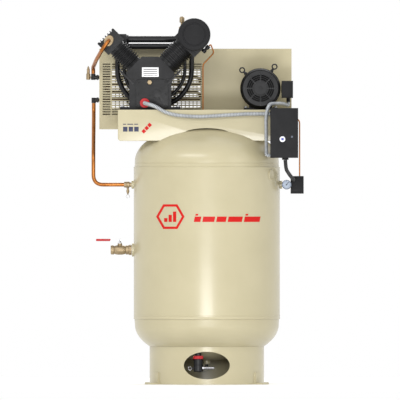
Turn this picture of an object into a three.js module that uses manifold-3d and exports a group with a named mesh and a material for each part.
// Two-stage belt-driven air compressor on a vertical tank.
// Millimetres, +Z up, origin on the tank's axis at floor level, -Y is the front.
import * as THREE from "three";
import { mergeVertices } from "three/addons/utils/BufferGeometryUtils.js";
import Module from "manifold-3d";

const wasm = await Module();
wasm.setup();

// ---- Driving dimensions ----
const GAP = 0.3;

const TANK = { radius: 381, headRadius: 375.5, headRise: 187.75, wall: 6 };
TANK.seamLow = 344;
TANK.seamHigh = 1128;
TANK.lowBase = 310.5;
TANK.highBase = 1164;
const PORT_HEIGHT = 1040;
const OUTLET_HEIGHT = 699.5;

const RING = { radius: 298.4, wall: 6, height: 205 };
const ACCESS = { width: 239, height: 143.5, z: 99.6 };
const DECK = { halfX: 463, halfY: 193, top: 1430, bottom: 1268.6, sheet: 6, corner: 13 };

const GUARD = { left: -562, right: 443, low: 1330, high: 1751, front: 205, back: 300, sheet: 2 };
const SLOT = { rows: 5, pitch: 55, height: 46, low: 1408 };

const CRANK = { x: -295, z: 1580, throw: 44.5, shaft: 25 };
const ROD_LENGTH = 170;
const LP = { side: 1, y: 0, bore: 52, barrel: 56, fin: 64, head: 75, depth: 85 };
const HP = { side: -1, y: 36, bore: 38, barrel: 43, fin: 54, head: 58, depth: 58 };
const VEE = { base: 120, deck: 250, top: 326 };
const CASE = { front: -95, back: 145, inner: 98 };
const SEAT = 60;

const BELT = { front: 223, back: 267, rim: 155, pulley: 67, clearance: 1.6, thickness: 11 };
const MOTOR = { x: 279.7, z: 1542, radius: 105, front: -130, back: 172, shaft: 19 };

const BOX = { left: 330, right: 474.5, low: 1179, high: 1438, back: -193.4, lid: -300, front: -328 };
const BUTTON = { x: 393, z: 1276, radius: 15.5 };
const VALVE = { x: -453.5, z: OUTLET_HEIGHT };
const DRAIN = { x: -45, y: -257 };

// ---- Finishes ----
const finish = (color, roughness, metalness) =>
  new THREE.MeshStandardMaterial({ color, roughness, metalness });
const CREAM = finish(0xcfc5a0, 0.45, 0.1);
const BLACK = finish(0x26262a, 0.5, 0.2);
const STEEL = finish(0x9a9ca0, 0.35, 0.9);
const COPPER = finish(0x9a5a2a, 0.35, 0.9);
const BRASS = finish(0xb09858, 0.35, 0.9);
const GREY = finish(0x8c9198, 0.6, 0.1);
const RUBBER = finish(0x181818, 0.9, 0);
const RED = finish(0xc01828, 0.5, 0);
const WHITE = finish(0xe8e8ec, 0.5, 0);

// ---- Geometry helpers ----
const assembly = new THREE.Group();

function cleanTriangles(geometry) {
  const bare = geometry.clone();
  bare.deleteAttribute("normal");
  bare.deleteAttribute("uv");
  const merged = mergeVertices(bare, 1e-3);
  const source = merged.index.array;
  const kept = [];
  for (let i = 0; i < source.length; i += 3) {
    const [a, b, c] = [source[i], source[i + 1], source[i + 2]];
    if (a !== b && b !== c && a !== c) kept.push(a, b, c);
  }
  return { positions: merged.attributes.position.array, triangles: kept };
}

function signedVolume(positions, triangles) {
  const corner = (i) => new THREE.Vector3().fromArray(positions, triangles[i] * 3);
  let total = 0;
  for (let i = 0; i < triangles.length; i += 3) {
    total += corner(i).dot(corner(i + 1).cross(corner(i + 2)));
  }
  return total;
}

function solid(geometry) {
  const { positions, triangles } = cleanTriangles(geometry);
  if (signedVolume(positions, triangles) < 0) triangles.reverse();
  const mesh = new wasm.Mesh({
    numProp: 3,
    vertProperties: new Float32Array(positions),
    triVerts: new Uint32Array(triangles),
  });
  return new wasm.Manifold(mesh);
}

function addPiece(name, shape, material) {
  const data = shape.getMesh();
  const geometry = new THREE.BufferGeometry();
  geometry.setAttribute("position", new THREE.BufferAttribute(data.vertProperties, 3));
  geometry.setIndex(new THREE.BufferAttribute(data.triVerts, 1));
  geometry.computeVertexNormals();
  const mesh = new THREE.Mesh(geometry, material);
  mesh.name = name;
  assembly.add(mesh);
}

const join = (first, ...rest) => rest.reduce((total, next) => total.add(next), first);
const cut = (first, ...rest) => rest.reduce((total, next) => total.subtract(next), first);

function block(x0, x1, y0, y1, z0, z1) {
  const geometry = new THREE.BoxGeometry(x1 - x0, y1 - y0, z1 - z0);
  return geometry.translate((x0 + x1) / 2, (y0 + y1) / 2, (z0 + z1) / 2);
}

const boxSolid = (...sides) => solid(block(...sides));

// A profile of [radius, height] points turned about the named axis through (x, y, z).
function turned(profile, axis, centre, segments = 16) {
  const points = profile.map(([r, h]) => new THREE.Vector2(r, h));
  const geometry = new THREE.LatheGeometry(points, segments);
  if (axis === "x") geometry.rotateZ(-Math.PI / 2);
  if (axis === "z") geometry.rotateX(Math.PI / 2);
  return geometry.translate(...centre);
}

const turnedSolid = (...args) => solid(turned(...args));

const rod = (radius, from, to) => [[0, from], [radius, from], [radius, to], [0, to]];
const pipe = (outer, inner, from, to) =>
  [[inner, from], [outer, from], [outer, to], [inner, to], [inner, from]];

// A flat outline drawn in X and Z, given thickness from y0 to y1.
function plate(shape, y0, y1, curveSegments = 8) {
  const geometry = new THREE.ExtrudeGeometry(shape, {
    depth: y1 - y0,
    bevelEnabled: false,
    curveSegments,
  });
  return solid(geometry.rotateX(Math.PI / 2).translate(0, y1, 0));
}

function outline(points) {
  return new THREE.Shape(points.map(([x, z]) => new THREE.Vector2(x, z)));
}

// A curve that passes through its knots in straight steps.
class Route extends THREE.Curve {
  constructor(knots) {
    super();
    this.knots = knots;
  }

  getPoint(t) {
    const place = t * (this.knots.length - 1);
    const i = Math.min(Math.floor(place), this.knots.length - 2);
    return this.knots[i].clone().lerp(this.knots[i + 1], place - i);
  }

  getPointAt(u) {
    return this.getPoint(u);
  }

  getTangentAt(u) {
    const last = this.knots.length - 1;
    const i = Math.round(u * last);
    const before = this.knots[Math.max(i - 1, 0)];
    const after = this.knots[Math.min(i + 1, last)];
    return after.clone().sub(before).normalize();
  }
}

// Turns corner points into knots, each corner eased over the given reach.
function eased(corners, reach, steps = 5) {
  const points = corners.map((p) => new THREE.Vector3(...p));
  const knots = [points[0]];
  for (let i = 1; i < points.length - 1; i += 1) {
    const toLast = points[i - 1].clone().sub(points[i]);
    const toNext = points[i + 1].clone().sub(points[i]);
    const span = Math.min(reach, toLast.length() * 0.48, toNext.length() * 0.48);
    const curve = new THREE.QuadraticBezierCurve3(
      points[i].clone().add(toLast.setLength(span)),
      points[i],
      points[i].clone().add(toNext.setLength(span)),
    );
    knots.push(...curve.getPoints(steps));
  }
  knots.push(points[points.length - 1]);
  return knots;
}

function tubeAlong(knots, radius, halfSides = 4) {
  const section = new THREE.Shape();
  section.absarc(0, 0, radius, 0, Math.PI * 2);
  const geometry = new THREE.ExtrudeGeometry(section, {
    steps: knots.length - 1,
    curveSegments: halfSides,
    extrudePath: new Route(knots),
  });
  return solid(geometry);
}

// ---- Tank ----
function tankOutline(grow, headSteps) {
  const r = TANK.headRadius + grow;
  const rise = TANK.headRise + grow;
  const low = [];
  const high = [];
  for (let i = 0; i <= headSteps; i += 1) {
    const angle = (i / headSteps) * Math.PI / 2;
    low.push([r * Math.sin(angle), TANK.lowBase - rise * Math.cos(angle)]);
    high.push([r * Math.cos(angle), TANK.highBase + rise * Math.sin(angle)]);
  }
  low[0][0] = 0;
  high[headSteps][0] = 0;
  const shell = TANK.radius + grow;
  const walls = [
    [r, TANK.seamLow - 2],
    [shell, TANK.seamLow],
    [shell, TANK.seamHigh],
    [r, TANK.seamHigh + 2],
  ];
  return [...low, ...walls, ...high];
}

const TANK_SEGMENTS = 24;
const HEAD_STEPS = 5;
const tankBody = (grow, steps = HEAD_STEPS) =>
  turnedSolid(tankOutline(grow, steps), "z", [0, 0, 0], TANK_SEGMENTS);
const tankClearance = tankBody(GAP + 0.2);

function makeTank() {
  const bosses = [
    turnedSolid(rod(22, 372, 393), "x", [0, 0, PORT_HEIGHT]),
    turnedSolid(rod(21.5, -393, -372), "x", [0, 0, PORT_HEIGHT]),
    turnedSolid(rod(35.5, -391, -372), "x", [0, 0, OUTLET_HEIGHT]),
    turnedSolid(rod(18, 104, 130), "z", [0, 0, 0]),
  ];
  const plugAngle = THREE.MathUtils.degToRad(61.6);
  const plug = turned(rod(29, -389, -372), "y", [0, 0, 1090]).rotateZ(plugAngle);
  const bores = [
    turnedSolid(rod(9, 340, 400), "x", [0, 0, PORT_HEIGHT], 16),
    turnedSolid(rod(9, -400, -340), "x", [0, 0, PORT_HEIGHT], 16),
    turnedSolid(rod(16, -400, -340), "x", [0, 0, OUTLET_HEIGHT], 16),
    turnedSolid(rod(8, 95, 145), "z", [0, 0, 0], 16),
  ];
  const walls = cut(tankBody(0), tankBody(-TANK.wall * 2, 3));
  addPiece("tank_shell", cut(join(walls, ...bosses, solid(plug)), ...bores), CREAM);
}

function makeBaseRing() {
  const profile = pipe(RING.radius, RING.radius - RING.wall, 0, RING.height);
  const hole = new THREE.Shape();
  hole.absellipse(0, ACCESS.z, ACCESS.width / 2, ACCESS.height / 2, 0, Math.PI * 2);
  let ring = turnedSolid(profile, "z", [0, 0, 0], TANK_SEGMENTS);
  for (const degrees of [-120, -60, 60, 120]) {
    const angle = THREE.MathUtils.degToRad(degrees);
    const flange = solid(block(-30, 30, -356, -296, 0, 8).rotateZ(angle));
    const tab = solid(block(-20, 20, -306, -295, 4, 62).rotateZ(angle));
    const bolt = solid(turned(rod(8, -5, 15), "z", [0, -334, 0], 12).rotateZ(angle));
    ring = join(ring, flange, tab).subtract(bolt);
  }
  addPiece("base_ring", cut(ring, tankClearance, plate(hole, -330, -200, 12)), CREAM);
}

function makeDeck() {
  const { halfX, halfY, top, bottom, sheet, corner } = DECK;
  const skirt = new THREE.Shape();
  skirt.moveTo(-halfX, top);
  skirt.lineTo(-halfX, bottom + corner);
  skirt.absarc(-halfX + corner, bottom + corner, corner, Math.PI, Math.PI * 1.5);
  skirt.lineTo(halfX - corner, bottom);
  skirt.absarc(halfX - corner, bottom + corner, corner, Math.PI * 1.5, Math.PI * 2);
  skirt.lineTo(halfX, top);
  const front = plate(skirt, -halfY, -halfY + sheet, 3);
  const back = plate(skirt, halfY - sheet, halfY, 3);
  const sheetTop = boxSolid(-halfX, halfX, -halfY, halfY, top - sheet, top);
  addPiece("top_platform", cut(join(sheetTop, front, back), tankClearance), CREAM);
}

// ---- Belt guard ----
function addHole(shape, points) {
  const path = new THREE.Path(points.map(([x, z]) => new THREE.Vector2(x, z)));
  shape.holes.push(path);
}

function makeGuard() {
  const { left, right, low, high, front, back, sheet } = GUARD;
  const opening = (x0, x1, z0, z1, y) => boxSolid(x0, x1, y - 5, y + 9, z0, z1);
  const slots = [];
  for (let row = 0; row < SLOT.rows; row += 1) {
    const z = SLOT.low + row * SLOT.pitch;
    for (const [x0, x1] of [[-545, -504], [-496, -400], [-180, -27]]) {
      slots.push(opening(x0, x1, z, z + SLOT.height, front));
    }
  }
  slots.push(turnedSolid(rod(80, front - 5, front + 9), "y", [CRANK.x, 0, CRANK.z], 32));
  slots.push(turnedSolid(rod(40, front - 5, front + 9), "y", [MOTOR.x, 0, MOTOR.z], 24));
  const tabs = [-300, 300].map((x) =>
    boxSolid(x - 40, x + 40, DECK.halfY + GAP, front + 1, 1350, 1400));
  const face = boxSolid(left, right, front, front + sheet, low, high);
  addPiece("guard_front", join(cut(face, ...slots), ...tabs), CREAM);

  const pane = { left: -496, width: 72, pitch: 79, low: 1438, height: 63, step: 72, columns: 6 };
  const panes = [];
  for (let column = 0; column < pane.columns; column += 1) {
    for (let row = 0; row < 3; row += 1) {
      const x = pane.left + column * pane.pitch;
      const z = pane.low + row * pane.step;
      panes.push(opening(x, x + pane.width, z, z + pane.height, back));
    }
  }
  const rear = boxSolid(left, right, back, back + sheet, low, high);
  addPiece("guard_rear", cut(rear, ...panes), CREAM);

  const [bandFront, bandBack] = [front + sheet + GAP, back - GAP];
  const outer = boxSolid(left, right, bandFront, bandBack, low, high);
  const inner = boxSolid(left + sheet, right - sheet, 200, 400, low + sheet, high - sheet);
  const tubeWays = [COOLER.rows[0], COOLER.rows[3]].map((z) =>
    turnedSolid(rod(COOLER.radius + 5, left - 10, left + 10), "x", [0, COOLER.y, z], 16));
  addPiece("guard_band", cut(outer, inner, ...tubeWays), CREAM);
}

// ---- Aftercooler and discharge pipes ----
const COOLER = { y: 283, radius: 8, left: -505, right: -55 };
COOLER.rows = [1601.5, 1562.2, 1522.8, 1483.5];

function halfTurn(x, zFrom, zTo, side) {
  const radius = (zFrom - zTo) / 2;
  const points = [];
  for (let i = 0; i <= 5; i += 1) {
    const angle = Math.PI / 2 - (i / 5) * Math.PI;
    const dx = side * radius * Math.cos(angle);
    points.push(new THREE.Vector3(x + dx, COOLER.y, zTo + radius + radius * Math.sin(angle)));
  }
  return points;
}

function makeAftercooler() {
  const { y, radius, left, right, rows } = COOLER;
  const inletX = -594;
  const outletX = -591.5;
  const knots = [
    new THREE.Vector3(inletX, y, rows[0]),
    ...halfTurn(right, rows[0], rows[1], 1),
    ...halfTurn(left, rows[1], rows[2], -1),
    ...halfTurn(right, rows[2], rows[3], 1),
    new THREE.Vector3(outletX, y, rows[3]),
  ];
  const elbows = [
    turnedSolid(rod(12, -13, 19), "z", [inletX, y, rows[0]], 16),
    turnedSolid(rod(11, inletX, GUARD.left - 3), "x", [0, y, rows[0]], 16),
    turnedSolid(rod(12, -16, 12), "z", [outletX, y, rows[3]], 16),
    turnedSolid(rod(11, outletX, GUARD.left - 3), "x", [0, y, rows[3]], 16),
  ];
  addPiece("aftercooler", join(tubeAlong(knots, radius), ...elbows), COPPER);

  const relief = [[0, -12], [11, -12], [11, 20], [8, 24], [8, 42], [3, 58], [0, 60]];
  const reliefX = inletX - 26;
  const valve = turnedSolid(relief, "z", [reliefX, y, rows[0]], 12);
  const stub = turnedSolid(rod(5, reliefX, inletX - 12 - GAP), "x", [0, y, rows[0]], 12);
  addPiece("guard_safety_valve", join(valve, stub), BRASS);

  const top = [
    [-512, HP.y - HP.depth - 12 - 2 * GAP, 1790],
    [-512, -62, 1790],
    [-545, -62, 1745],
    [-578, 90, 1690],
    [inletX, 270, 1655],
    [inletX, y, rows[0] + 36],
    [inletX, y, rows[0] + 19 + GAP],
  ];
  addPiece("discharge_tube", tubeAlong(eased(top, 26, 4), 8.75), COPPER);

  const oval = new THREE.Shape();
  oval.absellipse(-512, 1790, 30, 23, 0, Math.PI * 2, false, THREE.MathUtils.degToRad(60));
  const face = HP.y - HP.depth - GAP;
  addPiece("discharge_flange", plate(oval, face - 12, face, 10), BRASS);

  const down = [
    [outletX, y, rows[3] - 16 - GAP],
    [outletX, y, 1420],
    [outletX, 0, 1200],
    [outletX, 0, PORT_HEIGHT],
    [-432 - GAP, 0, PORT_HEIGHT],
  ];
  addPiece("tank_tube", tubeAlong(eased(down, 52, 5), 10), COPPER);

  const check = [[0, -432], [13, -432], [13, -422], [16, -420], [16, -404], [12, -402]];
  check.push([12, -393 - GAP], [0, -393 - GAP]);
  addPiece("check_valve", turnedSolid(check, "x", [0, 0, PORT_HEIGHT], 12), BRASS);

  const hanging = [[0, -54], [2, -54], [8, -36], [8, -30], [6, -28], [6, -16 - GAP], [0, -16 - GAP]];
  const ring = turnedSolid(pipe(10, 8, -1.2, 1.2), "y", [-412, 0, PORT_HEIGHT - 61], 16);
  const body = turnedSolid(hanging, "z", [-412, 0, PORT_HEIGHT], 12);
  addPiece("tank_relief", join(body, ring), BRASS);
}

// ---- Pump ----
// Places a shape drawn with +Z along a cylinder into the V, at depth y.
function inVee(geometry, bank) {
  geometry.rotateY(bank.side * Math.PI / 4);
  return geometry.translate(CRANK.x, bank.y, CRANK.z);
}

function makeCrankcase() {
  const reach = VEE.base * Math.SQRT1_2;
  const half = SEAT * Math.SQRT1_2;
  const right = [
    [158, DECK.top + GAP - CRANK.z],
    [158, -135],
    [109, -135],
    [109, -20],
    [reach + half, reach - half],
    [reach - half, reach + half],
  ];
  const left = right.map(([x, z]) => [-x, z]).reverse();
  const profile = outline([...right, ...left].map(([x, z]) => [CRANK.x + x, CRANK.z + z]));
  const centre = [CRANK.x, 0, CRANK.z];
  const hollows = [
    turnedSolid(rod(CASE.inner, CASE.front + 15, CASE.back - 15), "y", centre, 24),
    turnedSolid(rod(CRANK.shaft + 1.5, 100, 200), "y", centre, 20),
    turnedSolid(rod(55, CASE.front - 10, 0), "y", [CRANK.x + 9, 0, 1518], 24),
    solid(inVee(turned(rod(LP.bore + 1.5, 60, 130), "z", [0, 0, 0], 16), LP)),
    solid(inVee(turned(rod(HP.bore + 6, 60, 130), "z", [0, 0, 0], 16), HP)),
  ];
  const casting = plate(profile, CASE.front, CASE.back);
  const bearing = turnedSolid(rod(52, CASE.back - 2, CASE.back + 25), "y", centre, 24);
  addPiece("crankcase", cut(join(casting, bearing), ...hollows), BLACK);

  const face = CASE.front - GAP;
  const cover = new THREE.Shape();
  const [x0, x1, z0, z1, corner] = [-369, -203, 1438, 1587, 16];
  cover.absarc(x0 + corner, z0 + corner, corner, Math.PI, Math.PI * 1.5);
  cover.absarc(x1 - corner, z0 + corner, corner, Math.PI * 1.5, Math.PI * 2);
  cover.absarc(x1 - corner, z1 - corner, corner, 0, Math.PI / 2);
  cover.absarc(x0 + corner, z1 - corner, corner, Math.PI / 2, Math.PI);
  const bosses = [
    turnedSolid(rod(21, face - 24, face - 8), "y", [-260, 0, 1514], 20),
    turnedSolid(rod(19, face - 16, face - 8), "y", [-259, 0, 1475], 20),
  ];
  addPiece("end_cover", join(plate(cover, face - 12, face, 4), ...bosses), BLACK);
  const switchFace = face - 12 - GAP;
  addPiece("level_switch", turnedSolid(
    [[0, -18], [12, -18], [12, -14], [25, -14], [25, 0], [0, 0]],
    "y",
    [-323.6, switchFace, 1465],
    24,
  ), RED);
  addPiece("oil_plug", turnedSolid(rod(13, switchFace - 11, switchFace), "y", [-298, 0, 1573], 6), BRASS);
}

function makeCylinder(name, bank) {
  const low = VEE.base + GAP;
  const high = VEE.deck - GAP;
  const flange = bank.fin - 8;
  const profile = [[bank.bore, low], [flange, low], [flange, low + 12], [bank.barrel, low + 14]];
  const fins = 3;
  const pitch = (high - low - 26) / fins;
  for (let i = 0; i < fins; i += 1) {
    const base = low + 18 + i * pitch;
    profile.push([bank.barrel, base], [bank.fin, base + 2]);
    profile.push([bank.fin, base + 14], [bank.barrel, base + 16]);
  }
  profile.push([bank.barrel, high - 4], [flange, high - 3], [flange, high]);
  profile.push([bank.bore, high], [bank.bore, low]);
  addPiece(name, solid(inVee(turned(profile, "z", [0, 0, 0], 16), bank)), BLACK);
}

function makeHead(name, bank, manifold) {
  const body = block(-bank.head, bank.head, -bank.depth, bank.depth, VEE.deck, VEE.top);
  const ribs = [];
  for (let i = -3; i <= 3; i += 1) {
    const x = (i / 3.4) * bank.head;
    const rib = block(x - 3, x + 3, -bank.depth + 8, bank.depth - 8, VEE.top - 2, VEE.top + 8);
    ribs.push(solid(inVee(rib, bank)));
  }
  const middle = (VEE.deck + VEE.top) / 2 * Math.SQRT1_2;
  const centre = [CRANK.x + bank.side * middle, 0, CRANK.z + middle];
  const neck = turnedSolid(rod(28, bank.y + bank.depth - 2, manifold.front + 2), "y", centre, 16);
  const { left, right, front, back, low, high } = manifold;
  const header = boxSolid(left, right, front, back, low, high);
  addPiece(name, join(solid(inVee(body, bank)), ...ribs, neck, header), BLACK);
}

const HP_HEADER = { left: -515, right: -420, front: 118, back: 175, low: 1740, high: 1827 };
const LP_HEADER = { left: -133, right: -53, front: 118, back: 175, low: 1740, high: 1827 };

function makeIntercooler() {
  const crossTube = (name, radius, z) => {
    const profile = rod(radius, HP_HEADER.right + GAP, LP_HEADER.left - GAP);
    addPiece(name, turnedSolid(profile, "x", [0, 146, z], 16), BLACK);
  };
  crossTube("crossover_upper", 17, 1800);
  crossTube("crossover_lower", 14.5, 1763);
  const loop = (name, reach, radius) => {
    const centre = { x: -273, z: 1641 };
    const top = HP_HEADER.low - GAP;
    const knots = [new THREE.Vector3(centre.x - reach, 160, top)];
    for (let i = 0; i <= 14; i += 1) {
      const angle = Math.PI + (i / 14) * Math.PI;
      const x = centre.x + reach * Math.cos(angle);
      knots.push(new THREE.Vector3(x, 160, centre.z + reach * Math.sin(angle)));
    }
    knots.push(new THREE.Vector3(centre.x + reach, 160, top));
    addPiece(name, tubeAlong(knots, radius), BLACK);
  };
  loop("loop_outer", 194, 10.5);
  loop("loop_inner", 158, 7);
}

function makeIntake() {
  const face = LP.y - LP.depth - GAP;
  const canister = [
    [0, face],
    [28, face],
    [28, -101],
    [82, -103],
    [85, -107],
    [85, -172],
    [80, -180],
    [30, -184],
    [0, -184],
  ];
  addPiece("intake_filter", turnedSolid(canister, "y", [-66, 0, 1821.5], 24), BLACK);

  const lateral = LP.head + 12 + GAP;
  const unloader = [[0, 300], [12, 300], [12, 316], [8, 318], [8, 326], [11, 328], [11, 346], [0, 346]];
  const placed = turned(unloader, "z", [lateral, -40, 0], 12);
  addPiece("unloader", solid(inVee(placed, LP)), BLACK);

  const relief = [[0, 1860], [7, 1860], [7, 1884], [13, 1886], [13, 1910], [6, 1917], [0, 1917]];
  const shoulder = boxSolid(-146, -113, -62, -30, 1780, 1862);
  const headSide = block(-LP.head - GAP, LP.head, -LP.depth, LP.depth, VEE.deck - 90, VEE.top + 20);
  const stem = cut(shoulder, solid(inVee(headSide, LP)));
  addPiece("interstage_relief", join(stem, turnedSolid(relief, "z", [-129.5, -46, 0], 8)), BRASS);
}

// ---- Crank train ----
function makeCrankTrain() {
  const shaft = [
    [0, 68],
    [58, 68],
    [58, 90],
    [CRANK.shaft, 90],
    [CRANK.shaft, 217],
    [20, 219],
    [20, 270],
    [0, 270],
  ];
  const pin = turnedSolid(rod(14, 52, 70), "y", [CRANK.x, 0, CRANK.z + CRANK.throw], 16);
  addPiece("crankshaft", join(turnedSolid(shaft, "y", [CRANK.x, 0, CRANK.z], 20), pin), STEEL);

  const bankAngle = (CRANK.throw * Math.SQRT1_2);
  const tiltSine = bankAngle / ROD_LENGTH;
  const pinPlace = bankAngle + ROD_LENGTH * Math.sqrt(1 - tiltSine * tiltSine);
  const train = (suffix, bank, pinRadius) => {
    const radius = bank.bore - 0.7;
    const inner = radius - 8;
    const skirt = pinPlace - 35;
    const crown = pinPlace + 26;
    const profile = [[inner, skirt], [radius, skirt], [radius, crown], [0, crown], [0, crown - 8]];
    profile.push([inner, crown - 8], [inner, skirt]);
    const cup = solid(inVee(turned(profile, "z", [0, 0, 0], 16), bank));
    const wrist = turned(rod(pinRadius, -inner - 2, inner + 2), "y", [0, 0, pinPlace], 14);
    addPiece(`${suffix}_piston`, join(cup, solid(inVee(wrist, bank))), STEEL);

    const eye = pinRadius + 6.5;
    const half = bank === LP ? 11 : 9;
    const shank = block(-7, 7, -half, half, -ROD_LENGTH + 24, -eye + 2);
    const small = turned(pipe(eye, pinRadius + 0.8, -half, half), "y", [0, 0, 0], 16);
    const big = turned(pipe(28, 17, -half, half), "y", [0, 0, -ROD_LENGTH], 16);
    const parts = [shank, small, big].map((geometry) => {
      geometry.rotateY(bank.side * Math.asin(tiltSine));
      geometry.translate(0, 0, pinPlace);
      return solid(inVee(geometry, bank));
    });
    addPiece(`${suffix}_rod`, join(...parts), STEEL);
  };
  train("low", LP, 9);
  train("high", HP, 7.5);
}

// ---- Belt drive ----
function beltOutline(bigRadius, smallRadius) {
  const dx = MOTOR.x - CRANK.x;
  const dz = MOTOR.z - CRANK.z;
  const spread = Math.acos((bigRadius - smallRadius) / Math.hypot(dx, dz));
  const heading = Math.atan2(dz, dx);
  const points = [];
  const arc = (x, z, radius, from, to, steps) => {
    for (let i = 0; i <= steps; i += 1) {
      const angle = from + ((to - from) * i) / steps;
      points.push([x + radius * Math.cos(angle), z + radius * Math.sin(angle)]);
    }
  };
  arc(CRANK.x, CRANK.z, bigRadius, heading + spread, heading + 2 * Math.PI - spread, 20);
  arc(MOTOR.x, MOTOR.z, smallRadius, heading - spread, heading + spread, 12);
  return points;
}

function makeBeltDrive() {
  const centre = [CRANK.x, 0, CRANK.z];
  const rim = turnedSolid(pipe(BELT.rim, 143, BELT.front, BELT.back), "y", centre, 32);
  const hub = turnedSolid(pipe(45, 20.5, BELT.front, BELT.back), "y", centre, 20);
  const spokes = [];
  for (let i = 0; i < 5; i += 1) {
    const spoke = block(-13, 13, -8, 8, 36, 146).rotateZ(0.5);
    spoke.rotateY((i * Math.PI * 2) / 5).translate(CRANK.x, 245, CRANK.z);
    spokes.push(solid(spoke));
  }
  const bore = turnedSolid(rod(20.5, 200, 290), "y", centre, 20);
  addPiece("flywheel", join(rim, hub, ...spokes).subtract(bore), BLACK);

  const motorCentre = [MOTOR.x, 0, MOTOR.z];
  const pulley = turnedSolid(
    pipe(BELT.pulley, MOTOR.shaft + 0.5, BELT.front, BELT.back),
    "y",
    motorCentre,
    20,
  );
  addPiece("motor_pulley", pulley, BLACK);

  const band = outline(beltOutline(BELT.rim + BELT.thickness, BELT.pulley + BELT.thickness));
  addHole(band, beltOutline(BELT.rim + BELT.clearance, BELT.pulley + BELT.clearance));
  addPiece("drive_belt", plate(band, BELT.front + 1, BELT.back - 1), RUBBER);
}

// ---- Motor ----
function makeMotor() {
  const centre = [MOTOR.x, 0, MOTOR.z];
  const rearWall = MOTOR.back - 18;
  const housing = [
    [95, -95],
    [MOTOR.radius, -95],
    [MOTOR.radius, rearWall],
    [80, MOTOR.back],
    [MOTOR.shaft + 1, MOTOR.back],
    [MOTOR.shaft + 1, rearWall],
    [95, rearWall],
    [95, -95],
  ];
  addPiece("motor_shell", turnedSolid(housing, "y", centre, 24), BLACK);

  const bell = [
    [0, -118],
    [88, -118],
    [90, -95 - GAP],
    [103, -95 - GAP],
    [103, -104],
    [95, -124],
    [36, MOTOR.front],
    [0, MOTOR.front],
  ];
  const slots = [];
  for (let sector = 0; sector < 8; sector += 1) {
    const from = (sector * Math.PI) / 4 + 0.09;
    const to = ((sector + 1) * Math.PI) / 4 - 0.09;
    const slot = new THREE.Shape();
    slot.absarc(MOTOR.x, MOTOR.z, 70, from, to, false);
    slot.absarc(MOTOR.x, MOTOR.z, 44, to, from, true);
    slots.push(plate(slot, -140, -100, 1));
  }
  addPiece("motor_front_bell", cut(turnedSolid(bell, "y", centre, 24), ...slots), BLACK);

  const rotor = [
    [0, -88],
    [MOTOR.shaft, -88],
    [MOTOR.shaft, -60],
    [78, -60],
    [78, 110],
    [MOTOR.shaft, 110],
    [MOTOR.shaft, 270],
    [0, 270],
  ];
  addPiece("motor_rotor", turnedSolid(rotor, "y", centre, 18), STEEL);

  const foot = boxSolid(192, 368, -62, 112, DECK.top + GAP, DECK.top + 12);
  const saddle = boxSolid(220, 340, -50, 100, DECK.top + 10, DECK.top + 60);
  const clear = turnedSolid(rod(MOTOR.radius + GAP, -200, 200), "y", centre, 24);
  addPiece("motor_base", cut(join(foot, saddle), clear), BLACK);

  [["left", 45], ["right", -33]].forEach(([side, degrees]) => {
    const eye = turned(pipe(16, 9, -4, 4), "y", [0, 0, 135], 14);
    const stem = block(-7, 7, -5, 5, MOTOR.radius + GAP + 0.3, 124);
    const parts = [eye, stem].map((geometry) => {
      geometry.rotateY(-THREE.MathUtils.degToRad(degrees));
      return solid(geometry.translate(MOTOR.x, -20, MOTOR.z));
    });
    addPiece(`lifting_eye_${side}`, join(...parts), BLACK);
  });

  const shell = boxSolid(390, 449, -100, 0, 1492, 1581);
  const room = boxSolid(393, 446, -97, 10, 1495, 1578);
  const neck = turnedSolid(rod(24, MOTOR.radius + 3, 112), "x", [MOTOR.x, -50, MOTOR.z], 16);
  const gland = turnedSolid(rod(10, 1471, 1493), "z", [425, -50, 0], 12);
  addPiece("junction_box", join(cut(shell, room), neck, gland), BLACK);
}

// ---- Electrical ----
function makeStarter() {
  const { left, right, low, high, back, lid, front } = BOX;
  const wall = 3;
  const tray = boxSolid(left, right, lid, back, low, high);
  const room = boxSolid(left + wall, right - wall, lid - 1, back - wall, low + wall, high - wall);
  const gland = turnedSolid(rod(17, low - 10, low + 1), "z", [408, -255, 0], 16);
  addPiece("starter_tray", join(cut(tray, room), gland), BLACK);

  const cover = boxSolid(left, right, front, lid - GAP, low, high);
  const inside = boxSolid(left + wall, right - wall, front + wall, lid + 1, low + wall, high - wall);
  const way = turnedSolid(rod(BUTTON.radius + 0.6, front - 5, front + 9), "y", [BUTTON.x, 0, BUTTON.z]);
  addPiece("starter_cover", cut(cover, inside, way), BLACK);
  const button = rod(BUTTON.radius, front - 5, front + 14);
  addPiece("reset_button", turnedSolid(button, "y", [BUTTON.x, 0, BUTTON.z]), WHITE);
}

function makeConduits() {
  const pumpRun = [
    [-323.6, CASE.front - 31, 1465],
    [-323.6, -155, 1464],
    [-290, -192, 1455],
    [-262, -207, 1444],
    [-225, -207, 1420],
    [-173, -207, 1403],
    [-109, -207, 1396],
    [-29, -207, 1393],
    [130, -207, 1403],
    [210, -207, 1408],
    [BOX.left - GAP, -207, 1408],
  ];
  addPiece("conduit_pump", tubeAlong(eased(pumpRun, 30, 2), 10), GREY);
  const motorRun = [
    [425, -50, 1471 - GAP],
    [425, -50, 1452],
    [380, -120, 1462],
    [322, -226, 1458],
    [309, -230, 1405],
    [309, -230, 1250],
    [309, -242, 1194],
    [BOX.left - GAP, -242, 1194],
  ];
  addPiece("conduit_motor", tubeAlong(eased(motorRun, 30, 3), 8.25), GREY);
  const switchRun = [
    [408, -255, BOX.low - 10 - GAP],
    [408, -255, 1132],
    [428, -180, 1106],
    [452, -110, 1066],
    [452, -45 - GAP, 1066],
  ];
  addPiece("conduit_switch", tubeAlong(eased(switchRun, 50, 4), 13), RUBBER);
}

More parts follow.
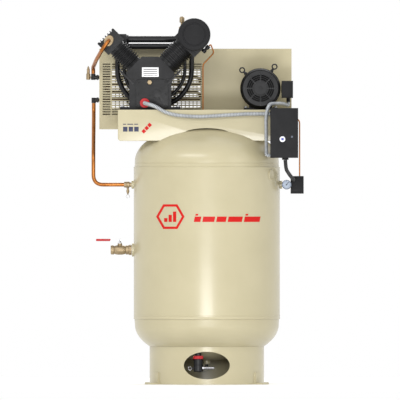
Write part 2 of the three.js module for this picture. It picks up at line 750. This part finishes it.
function makePressureSide() {
  addPiece("pressure_switch", boxSolid(437, 505, -45, 25, 993, 1085), BLACK);
  const bar = turnedSolid(rod(11, 393 + GAP, 437 - GAP), "x", [0, 0, PORT_HEIGHT], 12);
  const branch = turnedSolid(rod(7, -46, 0), "y", [416, 0, PORT_HEIGHT], 12);
  addPiece("manifold_tee", join(bar, branch), BRASS);
  const gauge = [416, -28, PORT_HEIGHT];
  const cup = [
    [0, -24],
    [22, -24],
    [22, -45],
    [25, -45],
    [25, -18 - GAP],
    [0, -18 - GAP],
  ];
  addPiece("gauge_case", turnedSolid(cup, "y", gauge, 20), STEEL);
  const pointer = block(-1, 1, -39, -37, -6, 17).rotateY(Math.PI / 5).translate(...gauge);
  const hub = turnedSolid(rod(3, -40, -36), "y", gauge, 12);
  addPiece("gauge_needle", join(solid(pointer), hub), BLACK);

  const switchLine = [
    [484, -10, 1085 + GAP],
    [484, -10, 1382],
    [430, -10, 1388],
  ];
  addPiece("switch_line", tubeAlong(eased(switchLine, 24, 4), 3.5, 3), COPPER);
  const lateral = LP.head + 12 + GAP;
  const end = 346 + GAP;
  const lineStart = [
    CRANK.x + (end + lateral) * Math.SQRT1_2,
    -40,
    CRANK.z + (end - lateral) * Math.SQRT1_2,
  ];
  const unloaderLine = [
    lineStart,
    [lineStart[0] + 9, -40, lineStart[2] + 8],
    [37, -40, 1728],
    [-20, -40, 1666],
    [-20, -40, DECK.top + GAP],
  ];
  addPiece("unloader_line", tubeAlong(eased(unloaderLine, 12, 3), 3.5, 3), COPPER);
}

// ---- Valves ----
function makeOutletValve() {
  const centre = [VALVE.x, 0, VALVE.z];
  const body = [
    [0, -48],
    [20, -48],
    [24, -46],
    [24, -32],
    [20, -30],
    [25, -18],
    [25, 18],
    [20, 30],
    [24, 32],
    [24, 46],
    [26, 48],
    [26, 62],
    [0, 62],
  ];
  const ballRoom = solid(new THREE.SphereGeometry(20.6, 12, 8).translate(...centre));
  const way = turnedSolid(rod(13, -60, 80), "x", centre, 12);
  const stemWay = turnedSolid(rod(6, 0, 40), "z", centre, 16);
  const bonnet = turnedSolid(rod(12, 10, 34), "z", centre, 12);
  const casting = join(turnedSolid(body, "x", centre, 12), bonnet);
  addPiece("valve_body", cut(casting, ballRoom, way, stemWay), BRASS);

  const ball = solid(new THREE.SphereGeometry(19, 12, 8).translate(...centre));
  const stem = turnedSolid(rod(5.2, 10, 57), "z", centre, 12);
  const strapSide = [[14, 50], [-14, 50], [-30, 44], [-50, 46], [-120, 52], [-120, 56], [-50, 50]];
  strapSide.push([-31, 48], [-14, 54], [14, 54]);
  const strap = plate(outline(strapSide.map(([x, z]) => [VALVE.x + x, VALVE.z + z])), -9, 9);
  const lever = join(cut(ball, way), stem, strap);
  addPiece("valve_handle", lever, STEEL);
  const grip = boxSolid(-578, -502, -12, 12, 742, 762);
  const pocket = boxSolid(-574.5, -490, -9 - GAP, 9 + GAP, 744.8, 757);
  addPiece("valve_grip", cut(grip, pocket), RED);
}

function makeDrain() {
  const { x, y } = DRAIN;
  const route = [[0, 0, 104 - GAP], [0, 0, 84], [x, y + 60, 84], [x, y + 10, 84]];
  const body = [
    [0, 66],
    [20, 66],
    [24, 70],
    [24, 133],
    [12, 133],
    [12, 150],
    [17, 150],
    [17, 163],
    [0, 165],
  ];
  const tail = tubeAlong(eased(route, 16, 4), 8);
  const outlet = turnedSolid(rod(9, -92, -40), "x", [0, y, 84], 12);
  addPiece("drain_body", join(turnedSolid(body, "z", [x, y, 0], 20), tail, outlet), BLACK);
  addPiece("drain_knob", turnedSolid(pipe(26, 12.6, 133.6, 149.4), "z", [x, y, 0], 20), RED);
}

makeTank();
makeBaseRing();
makeDeck();
makeGuard();
makeAftercooler();
makeCrankcase();
makeCylinder("low_cylinder", LP);
makeCylinder("high_cylinder", HP);
makeHead("low_head", LP, LP_HEADER);
makeHead("high_head", HP, HP_HEADER);
makeIntercooler();
makeIntake();
makeCrankTrain();
makeBeltDrive();
makeMotor();
makeStarter();
makeConduits();
makePressureSide();
makeOutletValve();
makeDrain();

export default assembly;
